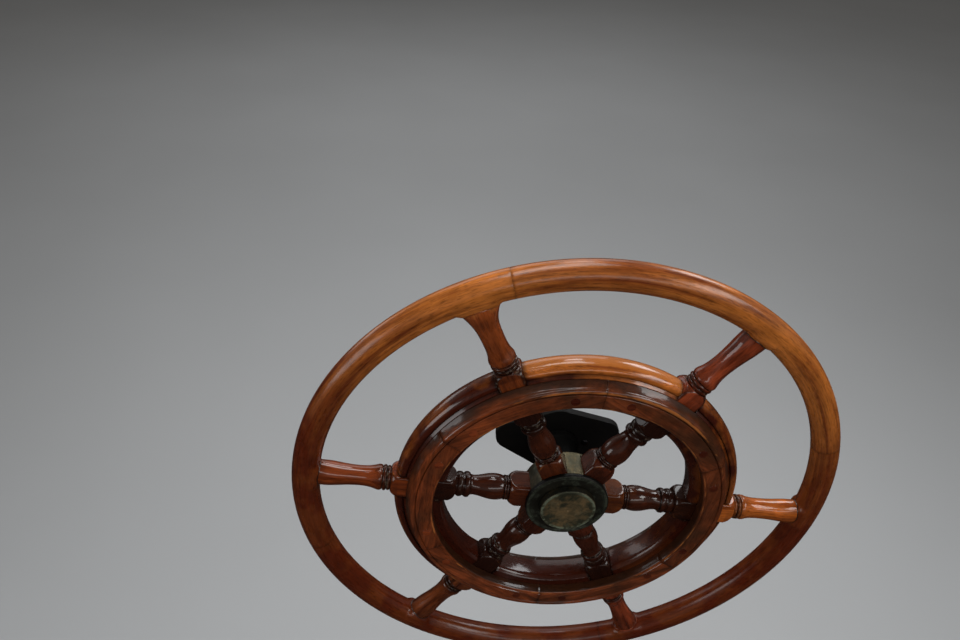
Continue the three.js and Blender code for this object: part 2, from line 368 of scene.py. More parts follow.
def varnished_wood(tree, plain, dark, old=None, bare=0.35, cloud=0.5, mottle=0.12, matt=0.2, coat=0.85,
                   film=0.04, brush=0.06, glow=1.25):
    """Old varnished mahogany: straight figure and short dark pores under a thick, slightly wavy gloss coat.

    old is its colour where the varnish has gone dark and where shade is painted, bare is how readily worn
    edges and painted highlights show bare wood, cloud is how much the varnish has darkened in patches, mottle
    is how strong the small bruises are, and matt is how rough the wood itself is. coat is how strong the
    gloss is, film is how dull it is, brush is how deep its brush marks are in millimetres, and glow is how
    much brighter than plain the palest figure is.
    """
    shades = colours()
    grain = add(tree, "Attribute", attribute_name="grain").outputs["Vector"]
    grime, wear_and_glint, gone_and_shaded = (add(tree, "Attribute", attribute_name=name).outputs["Fac"] for name in AMOUNTS)
    place = add(tree, "TexCoord").outputs["Object"]

    # Growth figure: bands about 8 mm across and fifteen times as long.
    along = add(tree, "Mapping", {"Vector": grain, "Scale": (0.065, 1, 1)})
    figure = add(tree, "TexNoise", {"Vector": along, "Scale": every(8), "Detail": 4, "Roughness": 0.6,
                                    "Distortion": 0.35})
    tone = add(tree, "ValToRGB", {"Fac": figure},
               stops=[(0.32, dark), (0.52, plain), (0.75, times(plain, glow))])

    # Fibre streaks about 2.4 mm across, coarser than real fibre so that they show.
    fine = add(tree, "Mapping", {"Vector": grain, "Scale": (0.05, 1, 1)})
    fibre = add(tree, "TexNoise", {"Vector": fine, "Scale": every(2.4), "Detail": 3, "Roughness": 0.65})
    fibre_tone = add(tree, "MapRange", {0: fibre, 1: 0.3, 2: 0.7, 3: 0.76, 4: 1.16})

    # Pores: short dark ticks, about 1.2 mm apart.
    tick = add(tree, "Mapping", {"Vector": grain, "Scale": (0.14, 1, 1)})
    pore = add(tree, "TexNoise", {"Vector": tick, "Scale": every(1.2), "Detail": 1, "Roughness": 0.5})
    pore_tone = add(tree, "MapRange", {0: pore, 1: 0.56, 2: 0.68, 3: 1.0, 4: 0.66})
    streaks = add(tree, "Math", {0: fibre_tone, 1: pore_tone}, operation="MULTIPLY")

    # Bruises about 11 mm across, a little drawn out along the grain.
    drawn = add(tree, "Mapping", {"Vector": grain, "Scale": (0.5, 1, 1)})
    bruise = add(tree, "TexNoise", {"Vector": drawn, "Scale": every(11), "Detail": 3, "Roughness": 0.6})
    bruise_tone = add(tree, "MapRange", {0: bruise, 1: 0.35, 2: 0.65, 3: 1 - mottle, 4: 1 + mottle})
    marks = add(tree, "Math", {0: streaks, 1: bruise_tone}, operation="MULTIPLY")
    wood = add(tree, "VectorMath", {0: tone, 3: marks}, operation="SCALE")

    # Patches of dark old varnish about 45 mm across, and the marked parts: old varnish and painted shade.
    patch = add(tree, "TexNoise", {"Vector": place, "Scale": every(45), "Detail": 3, "Roughness": 0.6})
    murk = add(tree, "MapRange", {0: patch, 1: 0.46, 2: 0.68, 3: 0.0, 4: cloud})
    darkened_and_shaded = add(tree, "Math", {0: murk, 1: gone_and_shaded}, operation="ADD", use_clamp=True)
    darker = add(tree, "VectorMath", {0: old or tuple(shades.old), 3: marks}, operation="SCALE")
    aged_and_shade = add(tree, "Mix", {0: darkened_and_shaded, 6: wood, 7: darker}, data_type="RGBA")

    # Bare wood on worn edges and painted highlights, broken up by streaks about 10 mm by 30 mm.
    rub = add(tree, "Mapping", {"Vector": grain, "Scale": (0.3, 1, 1)})
    scuff = add(tree, "TexNoise", {"Vector": rub, "Scale": every(10), "Detail": 4, "Roughness": 0.65})
    rubbed = add(tree, "Math", {0: scuff, 1: wear_and_glint}, operation="ADD")
    shows = add(tree, "MapRange", {0: rubbed, 1: 1.28 - bare, 2: 1.42 - bare, 3: 0.0, 4: 0.7})
    worn = add(tree, "Mix", {0: shows, 6: aged_and_shade.outputs[2], 7: (*shades.raw, 1)}, data_type="RGBA")

    # Grime, scratched pale here and there where it is thick.
    crust = add(tree, "TexNoise", {"Vector": place, "Scale": every(4), "Detail": 3, "Roughness": 0.6})
    pale = add(tree, "MapRange", {0: crust, 1: 0.55, 2: 0.68, 3: 0.0, 4: 0.8})
    thick = add(tree, "MapRange", {0: grime, 1: 0.6, 2: 0.85, 3: 0.0, 4: 1.0})
    scratched = add(tree, "Math", {0: pale, 1: thick}, operation="MULTIPLY")
    dirt = add(tree, "Mix", {0: scratched, 6: (*shades.grime, 1), 7: (*linear("#75695A"), 1)},
               data_type="RGBA")
    dirty = add(tree, "Mix", {0: grime, 6: worn.outputs[2], 7: dirt.outputs[2]}, data_type="RGBA")

    # Varnish sags about 16 mm apart, over brush marks that follow the fibre.
    sag = add(tree, "TexNoise", {"Vector": place, "Scale": every(16), "Detail": 2, "Roughness": 0.5})
    fibre_bump = add(tree, "Bump", {"Strength": 0.5, "Distance": brush * MM, "Height": fibre})
    waves = add(tree, "Bump", {"Strength": 0.6, "Distance": 0.4 * MM, "Height": sag, "Normal": fibre_bump})
    rough = add(tree, "MapRange", {0: scuff, 1: 0.35, 2: 0.7, 3: matt, 4: matt + 0.2})
    # Grime takes the gloss off the coat.
    gleam = add(tree, "MapRange", {0: grime, 1: 0.0, 2: 1.0, 3: coat, 4: 0.3 * coat})
    return add(tree, "BsdfPrincipled", {
        "Base Color": dirty.outputs[2], "Roughness": rough, "Normal": waves, "Specular IOR Level": 0.1,
        "Coat Weight": gleam, "Coat Roughness": film, "Coat IOR": 1.5, "Coat Normal": waves,
    })


def hub_bronze(tree, field, rubbed, handled, calm=0.5, edge=None, lip=0.9, aloft=None):
    """Cast gun-metal bronze under a dark patina, with patches of verdigris and clearer metal where rubbed.

    handled is how much of it has been rubbed, and calm is how strong the field is where it is darkest. edge
    is the radius round the wheel's axis of a corner painted pale green, verdigris with a painted highlight,
    lip is how pale, and the wall past it is painted dark as shade. Inside that corner the middle is the
    clearest.
    aloft is the height over the axis below which the bronze is painted darker as shade.
    """
    shades = colours()
    place = add(tree, "TexCoord").outputs["Object"]
    blotch = add(tree, "TexNoise", {"Vector": place, "Scale": every(20), "Detail": 4, "Roughness": 0.6})
    base = add(tree, "ValToRGB", {"Fac": blotch}, stops=[(0.35, times(field, calm)), (0.6, field)])
    # Scuffs about 5 mm across.
    scuff = add(tree, "TexNoise", {"Vector": place, "Scale": every(5), "Detail": 5, "Roughness": 0.6,
                                   "Distortion": 0.6})
    clear = add(tree, "Math", {0: blotch, 1: scuff}, operation="ADD")
    rubs = clear
    if edge:
        flat = add(tree, "Mapping", {"Vector": place, "Scale": (1, 0, 1)})
        out = add(tree, "VectorMath", {0: flat}, operation="LENGTH").outputs["Value"]
        part = add(tree, "Math", {0: out, 1: 1 / edge}, operation="MULTIPLY")
        middle = add(tree, "MapRange", {0: part, 1: 0.0, 2: 0.9, 3: 0.16, 4: -0.16})
        rubs = add(tree, "Math", {0: rubs, 1: middle}, operation="ADD")
    clean = add(tree, "MapRange", {0: rubs, 1: 1.0 - handled, 2: 1.5 - handled, 3: 0.0, 4: 0.85})
    metal = add(tree, "Mix", {0: clean, 6: base, 7: (*rubbed, 1)}, data_type="RGBA")
    bloom = add(tree, "TexNoise", {"Vector": place, "Scale": every(9), "Detail": 4, "Roughness": 0.7})
    green = add(tree, "MapRange", {0: bloom, 1: 0.55, 2: 0.75, 3: 0.0, 4: 0.3})
    shade = metal.outputs[2]
    # A pale ring at the edge, verdigris with a painted highlight, and painted shade on the wall past it.
    if edge:
        rim = add(tree, "ValToRGB", {"Fac": part}, stops=[(0.86, 0), (0.92, 1), (0.97, 1), (0.99, 0)])
        gaps = add(tree, "MapRange", {0: clear, 1: 0.93, 2: 1.12, 3: 0.05, 4: lip})
        broken = add(tree, "Math", {0: rim, 1: gaps}, operation="MULTIPLY")
        green = add(tree, "Math", {0: green, 1: broken}, operation="ADD", use_clamp=True)
        wall_shade = add(tree, "MapRange", {0: part, 1: 0.985, 2: 1.0, 3: 1.0, 4: 0.15})
        shade = add(tree, "VectorMath", {0: shade, 3: wall_shade}, operation="SCALE")
        green = add(tree, "Math", {0: green, 1: wall_shade}, operation="MULTIPLY")
    # Painted shade: below aloft the bronze is darkened.
    if aloft:
        high = add(tree, "SeparateXYZ", {"Vector": place}).outputs["Z"]
        lit = add(tree, "MapRange", {0: high, 1: aloft - 8 * MM, 2: aloft, 3: 0.4, 4: 1.0})
        shade = add(tree, "VectorMath", {0: shade, 3: lit}, operation="SCALE")
    coat = add(tree, "Mix", {0: green, 6: shade, 7: (*shades.verdigris, 1)}, data_type="RGBA")
    rough = add(tree, "MapRange", {0: scuff, 1: 0.3, 2: 0.7, 3: 0.58, 4: 0.34})
    bump = add(tree, "Bump", {"Strength": 0.4, "Distance": 0.15 * MM, "Height": clear})
    return add(tree, "BsdfPrincipled", {
        "Base Color": coat.outputs[2], "Roughness": rough, "Normal": bump, "Metallic": 0.55,
    })


def black_enamel(tree, black, dusty, specular):
    """Brushed-on black enamel over cast metal: satin, with faint dust and a little orange peel."""
    place = add(tree, "TexCoord").outputs["Object"]
    dust = add(tree, "TexNoise", {"Vector": place, "Scale": every(12), "Detail": 5, "Roughness": 0.7})
    tone = add(tree, "ValToRGB", {"Fac": dust}, stops=[(0.4, black), (0.85, dusty)])
    peel = add(tree, "TexNoise", {"Vector": place, "Scale": every(2.5), "Detail": 2})
    rough = add(tree, "MapRange", {0: dust, 1: 0.3, 2: 0.75, 3: 0.42, 4: 0.65})
    bump = add(tree, "Bump", {"Strength": 0.3, "Distance": 0.08 * MM, "Height": peel})
    return add(tree, "BsdfPrincipled", {
        "Base Color": tone, "Roughness": rough, "Normal": bump, "Specular IOR Level": specular,
    })


def turned_steel(tree, steel):
    """Turned steel: fine rings round it under a light tarnish."""
    place = add(tree, "TexCoord").outputs["Object"]
    rings = add(tree, "Mapping", {"Vector": place, "Scale": (0.1, 1, 0.1)})
    tool = add(tree, "TexNoise", {"Vector": rings, "Scale": every(0.7), "Detail": 2})
    film = add(tree, "TexNoise", {"Vector": place, "Scale": every(8), "Detail": 3})
    tone = add(tree, "ValToRGB", {"Fac": film}, stops=[(0.3, times(steel, 0.5)), (0.65, steel)])
    rough = add(tree, "MapRange", {0: tool, 1: 0.3, 2: 0.7, 3: 0.24, 4: 0.42})
    bump = add(tree, "Bump", {"Strength": 0.3, "Distance": 0.03 * MM, "Height": tool})
    return add(tree, "BsdfPrincipled", {
        "Base Color": tone, "Roughness": rough, "Normal": bump, "Metallic": 1.0,
    })


def dark_filler(tree):
    """Brown-black stopping run into the joints and varnished over."""
    place = add(tree, "TexCoord").outputs["Object"]
    lump = add(tree, "TexNoise", {"Vector": place, "Scale": every(5), "Detail": 3})
    tone = add(tree, "ValToRGB", {"Fac": lump},
               stops=[(0.3, tuple(colours().grime)), (0.7, linear("#2A160E"))])
    bump = add(tree, "Bump", {"Strength": 0.5, "Distance": 0.2 * MM, "Height": lump})
    return add(tree, "BsdfPrincipled", {
        "Base Color": tone, "Roughness": 0.3, "Normal": bump, "Coat Weight": 0.8, "Coat Roughness": 0.08,
    })


def studio_floor(tree):
    """Pale matt paint, very slightly uneven."""
    place = add(tree, "TexCoord").outputs["Object"]
    cloud = add(tree, "TexNoise", {"Vector": place, "Scale": every(900), "Detail": 3})
    pale = tuple(colours().floor)
    tone = add(tree, "ValToRGB", {"Fac": cloud}, stops=[(0.3, times(pale, 0.95)), (0.7, pale)])
    return add(tree, "BsdfPrincipled", {"Base Color": tone, "Roughness": 0.8})


# How each spoke differs: how much thicker its neck is in millimetres, how much its end spreads along the rim,
# how dirty its outer beads are, and its wood.
SpokeWay = namedtuple("SpokeWay", "waist faired grimy wood")
SPOKE_WAYS = (
    SpokeWay(0.7, 0.42, 0.9, "golden"),
    SpokeWay(0.4, 0.05, 0.8, "red"),
    SpokeWay(0.9, 0.04, 0.2, "orange"),
    SpokeWay(0.2, 0.12, 0.6, "red"),
    SpokeWay(0.3, 0.04, 0.8, "plain"),
    SpokeWay(0.2, 0.04, 0.6, "warm"),
)

# Spoke turning. Distances are along the spoke from the wheel's axis, and radii are from the spoke's own axis,
# in millimetres.
SOCKET = 29.6  # where a spoke starts, inside the hub
HUB_BLOCK = 43.8  # from here out, the hub block is cut round
HUB_SHOULDER = 65.8
FELLOE_BLOCK = (144.7, 177.6)
FELLOE_SHOULDERS = (125.6, 197.6)
BORE_BLOCK = 160  # how far out the felloe block is seen from the felloe's bore
SHOULDER_ROOT = 12.4  # the radius at a shoulder's tip, beside the beads
CORNER = 21.5  # past the square's corners, so that the square is left whole
SQUARENESS = 14  # how sharp the square's corners are; 2 would be round
# Past HANDLE_SIDE the handles also carry painted shade below.
HANDLE_SIDE = 190  # from here out, the wood has aged as the handle has
BULB = 206.6
NECK = 232
SPREAD_START = 246  # from here out, a spoke's end spreads along the rim
SPREAD_CURVE = 2.5  # how late most of the spread comes; 1 would be even
SCRIBE = 273  # from here out, a spoke's end is fitted to the rim
THINNED = 0.86  # how thick a spoke's end is along the wheel's axis, so that it sits within the rim's round

BALUSTER = [(71.6, 12.5), (73.5, 13.5), (78, 14.4), (83, 14.6), (89, 14.0), (95, 12.6), (100, 11.5),
            (105, 10.9), (108, 11.2), (109.6, 12.1)]
HANDLE = [(BULB, 12.4), (207.4, 13.5), (209.6, 14.1), (212.4, 13.7), (216.5, 12.4), (223, 11.2), (231, 10.7),
          (240, 11.0), (250, 12.0), (262, 13.5), (268, 14.0), (SCRIBE, 14.3)]
END_RADIUS = HANDLE[-1][1]
# Beads, from where, to where, their root's radius and their crest's, and the scribed grooves beside them.
BEADS = [(66.1, 68.6, 12.5, 13.7), (68.8, 71.4, 12.5, 13.9), (109.8, 116.2, 12.6, 14.3),
         (118, 124.4, 12.6, 14.0), (197.9, 201.7, 12.4, 13.6), (202, 206.3, 12.4, 14.2)]
GROOVES = [65.9, 68.7, 71.5, 109.7, 117.1, 125.0, 197.8, 201.9, 206.5]
HUB_DIRT, INNER_DIRT, OUTER_DIRT = 67, 120, 202  # where dirt has gathered most beside each pair of beads
ROUND_STEPS = 96


def bead(start, end, root, crest):
    """A half-round bead between two places, standing on its root radius."""
    middle = (start + end) / 2
    return arc((middle, root), ((end - start) / 2, crest - root), 180, 0, 10)


def shoulder(tip, corner):
    """The pommel cut that rounds a square block down to the turning beside it, from tip to corners."""
    return arc((corner, SHOULDER_ROOT), (tip - corner, CORNER - SHOULDER_ROOT), 0, 90, 14)


def spoke_outline(waist):
    """The spoke's turned outline as (distance, radius). waist thickens the handle's neck."""
    outline = [(SOCKET, 0), (SOCKET, CORNER), *reversed(shoulder(HUB_SHOULDER, HUB_BLOCK))]
    outline += bead(*BEADS[0]) + bead(*BEADS[1]) + through(BALUSTER, 4)
    outline += bead(*BEADS[2]) + bead(*BEADS[3])
    outline += shoulder(FELLOE_SHOULDERS[0], FELLOE_BLOCK[0])
    outline += [(s, CORNER) for s in range(150, 176, 8)]
    outline += reversed(shoulder(FELLOE_SHOULDERS[1], FELLOE_BLOCK[1]))
    outline += bead(*BEADS[4]) + bead(*BEADS[5])
    outline += [(s, r + waist * near(s, NECK, 16)) for s, r in through(HANDLE, 5)]
    # Rings across the end, which is then fitted to the rim.
    outline += [(SCRIBE + 0.01, r) for r in (12, 9, 6, 3, 0)]
    return outline


def spoke_angle(index):
    """A spoke's angle. The first stands nearest the top, and the next is to its right."""
    return FIRST_SPOKE - (index - 1) * SPOKE_STEP


def squared(vert, half):
    """Brings a point that lies outside the square stock in to its side, with the corners a little rounded."""
    y, z = abs(vert.co.y), abs(vert.co.z)
    reach = (y ** SQUARENESS + z ** SQUARENESS) ** (1 / SQUARENESS)
    if reach > half:
        vert.co.y *= half / reach
        vert.co.z *= half / reach


def flare(way, z):
    """How much a spoke's end is spread along the rim, more on its right than on its left."""
    return 1 + way.faired * (1.35 if z < 0 else 0.85)


LAND_POWER = 5  # the rim's inner side is left this square where it meets a spoke; 2 is round
LAND_INSET = 6  # how many millimetres inside the sides of a spoke's end that starts to fade
LAND_FADE = 8  # and over how many it does


def land_power(beside, index):
    """How square the rim's inner side is at a distance beside a spoke."""
    half = (END_RADIUS * flare(SPOKE_WAYS[index - 1], beside) - LAND_INSET) * MM
    return 2 + (LAND_POWER - 2) * (1 - smooth((abs(beside) - half) / (LAND_FADE * MM)))


def rim_hollow(y, z, size, clearance, index):
    """How far out along a spoke the rim's surface lies, at a point of the spoke's section."""
    centre = size.rim_radius - size.rim_tube
    tube = size.rim_tube + clearance
    power = land_power(z, index)
    sag = tube * max(1 - (abs(y) / tube) ** power, 0) ** (1 / power)
    return math.sqrt((centre - sag) ** 2 - z ** 2)


def build_spoke(index):
    """One spoke, made along +X and turned to its place."""
    size, way, angle = sizes(), SPOKE_WAYS[index - 1], spoke_angle(index)
    bm = bmesh.new()
    outline = spoke_outline(way.waist)
    verts = [bm.verts.new((s * MM, 0, r * MM)) for s, r in outline]
    chain = verts + [bm.edges.new(pair) for pair in zip(verts, verts[1:])]
    bmesh.ops.rotate(bm, verts=verts, cent=(0, 0, 0), matrix=Matrix.Rotation(math.pi / 4, 3, "X"))
    bmesh.ops.spin(bm, geom=chain, cent=(0, 0, 0), axis=(1, 0, 0), angle=math.tau, steps=ROUND_STEPS,
                   use_merge=True)
    bmesh.ops.remove_doubles(bm, verts=bm.verts, dist=0.001 * MM)
    for vert in bm.verts:
        squared(vert, size.stock / 2)
        spread = max(0, (vert.co.x / MM - SPREAD_START) / (SCRIBE - SPREAD_START)) ** SPREAD_CURVE
        vert.co.z *= 1 + (flare(way, vert.co.z) - 1) * spread
        vert.co.y *= 1 - (1 - THINNED) * spread
        if vert.co.x > (SCRIBE - 0.005) * MM:
            vert.co.x = rim_hollow(vert.co.y, vert.co.z, size, 0.1 * MM, index)
    bmesh.ops.recalc_face_normals(bm, faces=bm.faces)

    turned_radius = {round(s, 2): r for s, r in outline}
    plank = index * Vector((0.31, 0.071, 0.053))  # each spoke comes from its own place in the plank

    def describe(co):
        s = co.x / MM
        side = max(abs(co.y), abs(co.z)) - size.stock / 2
        grime = max(near(s, groove, 0.8) for groove in GROOVES)
        grime = max(grime, 0.4 * near(s, HUB_DIRT, 5), (0.4 + 0.5 * way.grimy) * near(s, INNER_DIRT, 10),
                    0.85 * near(s, OUTER_DIRT, 5))
        if FELLOE_SHOULDERS[0] < s < FELLOE_SHOULDERS[1] - 1 or s < HUB_SHOULDER - 1:
            # The felloe block's flats are clean past its bore, and its rounded shoulder isn't.
            outer = 0 if side > -0.05 * MM else 0.9 * way.grimy
            grime = 0.15 if s < HUB_SHOULDER else 0.6 if s < BORE_BLOCK else outer
        elif s > HANDLE_SIDE:
            grime = max(grime, way.grimy * near(s, OUTER_DIRT, 6))

        # Worn square corners, and wear with a painted highlight where the turning runs out into the sides.
        corner = 0.36 * near(abs(abs(co.y) - abs(co.z)) / MM, 0, 1.2) if side > -MM else 0
        if HUB_SHOULDER < s < BORE_BLOCK:
            corner *= 0.3
        run_out = math.hypot(co.y, co.z) / MM - turned_radius.get(round(s, 2), 0)
        block = s < HUB_SHOULDER - 1 or FELLOE_SHOULDERS[0] + 1 < s < FELLOE_SHOULDERS[1] - 1
        worn = max(corner, 0.5 * near(run_out, 0, 0.9) * near(side / MM, 0, 0.8)) if block else 0

        aged_and_shade = 0.75 if s < HUB_SHOULDER else 0.95 if s < BORE_BLOCK else 0
        if s > HANDLE_SIDE:
            # The handles are painted darker below and lighter on top: painted shade, with some fading on top.
            above = co.z / (12 * MM) * math.cos(math.radians(angle))
            aged_and_shade = max(aged_and_shade, 0.42 * smooth(0.5 - 0.7 * above))
        if way.wood == "golden":
            # This spoke is darkest at its bulb and runs into the rim without a change of colour.
            aged_and_shade = max(aged_and_shade, 0.45 * (1 - smooth((s - 222) / 30)) * (1 if s > HANDLE_SIDE else 0.3))
            aged_and_shade *= 1 - 0.8 * smooth((s - 254) / 16)
            worn = max(worn, 0.4 * smooth((s - 258) / 16))
        else:
            aged_and_shade = max(aged_and_shade, 0.35 * near(s, 275, 8), 0.3 * near(s, 208, 8))
        return co + plank, grime, worn, aged_and_shade

    mark(bm, describe)
    stand_at(bm, angle)
    return bm


def build_filler(index):
    """A thin bead of filler round a spoke's end, following the rim's surface."""
    size, way = sizes(), SPOKE_WAYS[index - 1]
    bm = bmesh.new()
    upright = Matrix.Translation((0, 0, END_RADIUS * MM)) @ Matrix.Rotation(math.pi / 2, 4, "X")
    ring = bmesh.ops.create_circle(bm, segments=8, radius=(0.5 + 0.5 * way.faired) * MM, matrix=upright)
    bmesh.ops.spin(bm, geom=[*ring["verts"], *bm.edges], cent=(0, 0, 0), axis=(1, 0, 0), angle=math.tau,
                   steps=72, use_merge=True)
    for vert in bm.verts:
        vert.co.z *= flare(way, vert.co.z)
        vert.co.y *= THINNED
        vert.co.x += rim_hollow(vert.co.y, vert.co.z, size, 0.2 * MM, index)
    bmesh.ops.recalc_face_normals(bm, faces=bm.faces)
    mark(bm, lambda co: (co, 0, 0, 0))
    stand_at(bm, spoke_angle(index))
    return bm


def node_at(prefix, count, degrees):
    """The CAD node of a ring of like nodes whose middle lies at an angle."""
    def away(name):
        low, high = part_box(name)
        middle = (low + high) / 2
        return (middle - radial(degrees) * middle.length).length

    return min((f"{prefix}_{k}" for k in range(1, count + 1)), key=away)


class WHEEL_OT_spokes(bpy.types.Operator):
    """Turns the six spokes and runs filler into their joints with the rim"""
    bl_idname = "wheel.spokes"
    bl_label = "Spokes"

    def execute(self, context):
        shades = colours()
        old = linear("#3A180C")
        woods = {
            "golden": new_material("varnished_mahogany_spoke_golden", varnished_wood, linear("#94481F"),
                                   linear("#5A240E"), old),
            "plain": new_material("varnished_mahogany_spoke", varnished_wood, tuple(shades.spoke),
                                  tuple(shades.spoke_dark), old),
            "red": new_material("varnished_mahogany_spoke_red", varnished_wood, linear("#8A3C20"),
                                linear("#48160A"), old, mottle=0.2, glow=1.5),
            "warm": new_material("varnished_mahogany_spoke_warm", varnished_wood, linear("#843A14"),
                                 linear("#4A1A08"), old, cloud=0.3),
            "orange": new_material("varnished_mahogany_spoke_pale", varnished_wood, linear("#BE6424"),
                                   linear("#8A3E12"), old, cloud=0.3, mottle=0.2),
        }
        filler = new_material("dark_varnished_filler", dark_filler)
        for index, way in enumerate(SPOKE_WAYS, 1):
            wood = woods[way.wood]
            node = node_at("spoke", SPOKES, spoke_angle(index))
            settle(build_spoke(index), f"turned_spoke_{index}", "wheel", [node], wood, 50)
            run_in = filler if way.faired < 0.1 else wood
            settle(build_filler(index), f"joint_filler_{index}", "wheel", [], run_in)
        return {"FINISHED"}


def leave_land(vert, size):
    """Squares the rim's inner side beside each spoke, so that the spoke's end has a flat to stand on."""
    out, angle = round_wheel(vert.co)
    across, deep = out - (size.rim_radius - size.rim_tube), vert.co.y - CENTRE.y
    if across >= 0:
        return
    turns = (FIRST_SPOKE - angle) / SPOKE_STEP
    beside = (round(turns) - turns) * math.radians(SPOKE_STEP) * out
    power = land_power(beside, round(turns) % SPOKES + 1)
    reach = math.hypot(across, deep)
    squarer = size.rim_tube / ((abs(across / reach) ** power + abs(deep / reach) ** power) ** (1 / power))
    vert.co.y += deep * (squarer / reach - 1)
    vert.co.x *= 1 + across * (squarer / reach - 1) / out
    vert.co.z *= 1 + across * (squarer / reach - 1) / out


RIM_STEPS = 162  # round each length
# The rim is golden about one angle and darker away from it: old varnish, and painted shade away from the
# light.
LIT_GOLDEN_AT = 78  # the angle about which the rim has stayed golden
LIT_GOLDEN_REACH = 42  # how many degrees that goes to each side
SHADE_OVER = 45  # over how many more degrees the rim goes dark


class WHEEL_OT_rim(bpy.types.Operator):
    """Bends the hand rim's round lengths and butts them"""
    bl_idname = "wheel.rim"
    bl_label = "Hand rim"

    def execute(self, context):
        size, shades = sizes(), colours()
        wood = new_material("varnished_mahogany_rim", varnished_wood, tuple(shades.rim),
                            tuple(shades.rim_dark), linear("#5A210C"), cloud=0.25, coat=0.55, film=0.2,
                            brush=0.1)
        centre = size.rim_radius - size.rim_tube
        sweep = 360 / RIM_LENGTHS
        gap = math.degrees(0.05 * MM / centre)
        section = arc((centre, CENTRE.y), (size.rim_tube, size.rim_tube), 0, 350, 35)
        for k in range(RIM_LENGTHS):
            start = FIRST_RIM_JOINT + sweep * k
            bm = ring_length(section, start + gap, start + sweep - gap, RIM_STEPS, 0.15 * MM)
            for vert in bm.verts:
                leave_land(vert, size)

            def describe(co):
                out, angle = round_wheel(co)
                degrees = (angle - start) % 360
                along = math.radians(degrees) * centre
                joint = 0.36 * near(abs(min(degrees, sweep - degrees)) * math.radians(centre), 0, 0.6 * MM)
                # Golden where held and lit; darker elsewhere, as old varnish and painted shade.
                aged_and_shade = 0.88 * smooth((apart(angle, LIT_GOLDEN_AT) - LIT_GOLDEN_REACH) / SHADE_OVER)
                # Near the top it is a little darker again.
                aged_and_shade = max(aged_and_shade, 0.3 * near(angle, 88, 12))
                return Vector((along + k, out - centre + 0.13 * k, co.y)), joint, 0, aged_and_shade

            mark(bm, describe)
            node = node_at("rim_segment", RIM_LENGTHS, start + sweep / 2)
            settle(bm, f"rim_length_{k + 1}", "wheel", [node], wood)
        return {"FINISHED"}


# Old varnish and painted shade on each felloe length, darkest away from the top. The first is on the first
# spoke's left.
FELLOE_AGED_AND_SHADE = (0.9, 0.95, 0.9, 0.8, 0.66, 0.0)
CROWN = 1.6 * MM  # how far the felloe's bore swells
CROWN_AT = 0.82  # and where, from its rear to its front
FELLOE_STEPS = 44  # round each length, and round each facing


def crowned(inner):
    """The felloe's bore from its rear edge to its front edge, swelling most near the front."""
    points = []
    steps = 16
    for i in range(steps + 1):
        u = i / steps
        away = (u - CROWN_AT) / (CROWN_AT if u < CROWN_AT else 1 - CROWN_AT)
        points.append((inner - CROWN * (1 - away ** 2), CENTRE.y + (FELLOE_HALF - 2 * MM) * (1 - 2 * u)))
    return points


class WHEEL_OT_felloe(bpy.types.Operator):
    """Shapes the felloe's middle lengths, with their rounded outer edge, between the spokes"""
    bl_idname = "wheel.felloe"
    bl_label = "Felloe"

    def execute(self, context):
        size, shades = sizes(), colours()
        wood = new_material("varnished_mahogany_felloe", varnished_wood, tuple(shades.felloe),
                            tuple(shades.felloe_dark), bare=0.3, film=0.1, brush=0.09)
        half = FELLOE_HALF
        roll_half = 8.2 * MM
        roll_middle = size.felloe_outer - roll_half
        quirk = roll_middle - 2.1 * MM
        roll = arc((roll_middle, CENTRE.y), (roll_half, half - 2 * MM), -102, 102, 28)
        section = crowned(size.felloe_inner)
        for face in (-1, 1):
            # From the bore across the face to a sloping band and the quirk beside the roll, then back behind.
            lines = [(size.felloe_inner + 2 * MM, half), (size.facing_inner + 3 * MM, half)]
            lines += [(size.facing_foot + 0.2 * MM, half), (quirk - 0.3 * MM, half - 3.2 * MM)]
            lines += [(quirk, half - 3.6 * MM), (quirk + 0.2 * MM, half - 3.2 * MM)]
            edge = [(out, CENTRE.y + face * depth) for out, depth in lines]
            section += edge + roll if face < 0 else reversed(edge)
        beside = size.stock / 2 + size.fit
        for k in range(SPOKES):
            start = FIRST_SPOKE + SPOKE_STEP * k
            end = start + SPOKE_STEP
            middle = start + SPOKE_STEP / 2
            # Swept almost from spoke to spoke, and cut back square to stand just clear of their stock.
            bm = ring_length(section, start + 0.5, end - 0.5, FELLOE_STEPS, 0)
            for angle, turn in ((start, -1), (end, 1)):
                outward = turn * radial(angle + 90)
                cut_square(bm, CENTRE - outward * beside, outward)
            cap_ends(bm, 1.0 * MM)
            along, across = radial(middle + 90), radial(middle)

            def describe(co):
                out, turn = round_wheel(co)
                depth = abs(co.y - CENTRE.y)
                groove = 0.8 * near(out, quirk, 0.5 * MM) * (1 if depth > 8 * MM else 0)
                joint = near(min(abs(co.dot(radial(a + 90))) for a in (start, end)) - beside, 0, 1.2 * MM)
                # The inner wall is painted dark as shade, out of the light, over its old, dark varnish.
                inside = out < size.facing_inner - 2 * MM
                aged_and_shade = 0.95 if inside else 0.2 if out < quirk else 0
                wall_shade = 0.3 if inside else 0
                short = size.felloe_outer - out  # of the roll's crest
                if FELLOE_AGED_AND_SHADE[k]:
                    # Worn a little along the crest; old varnish and painted shade, darker towards the facing.
                    crest = 0.25 * near(short, 0, 3 * MM)
                    shaded = FELLOE_AGED_AND_SHADE[k] * (1.1 - 0.3 * smooth((7 * MM - short) / (5 * MM)))
                else:
                    # Top length: crest worn and painted pale, lit from above; painted shade low on its left
                    # half.
                    crest = 0.75 * smooth((4 * MM - short) / (3 * MM))
                    low = smooth((short - 5 * MM) / (4 * MM))
                    shaded = low * (0.2 + 0.55 * smooth((turn - 82) / 14))
                spot = Vector((co.dot(along) + 0.4 * k, co.dot(across) + 0.09 * k, co.y))
                return spot, max(groove, 0.8 * joint, wall_shade), crest, max(aged_and_shade, shaded)

            mark(bm, describe)
            node = node_at("felloe_segment", SPOKES, middle)
            settle(bm, f"felloe_length_{k + 1}", "wheel", [node], wood)
        return {"FINISHED"}


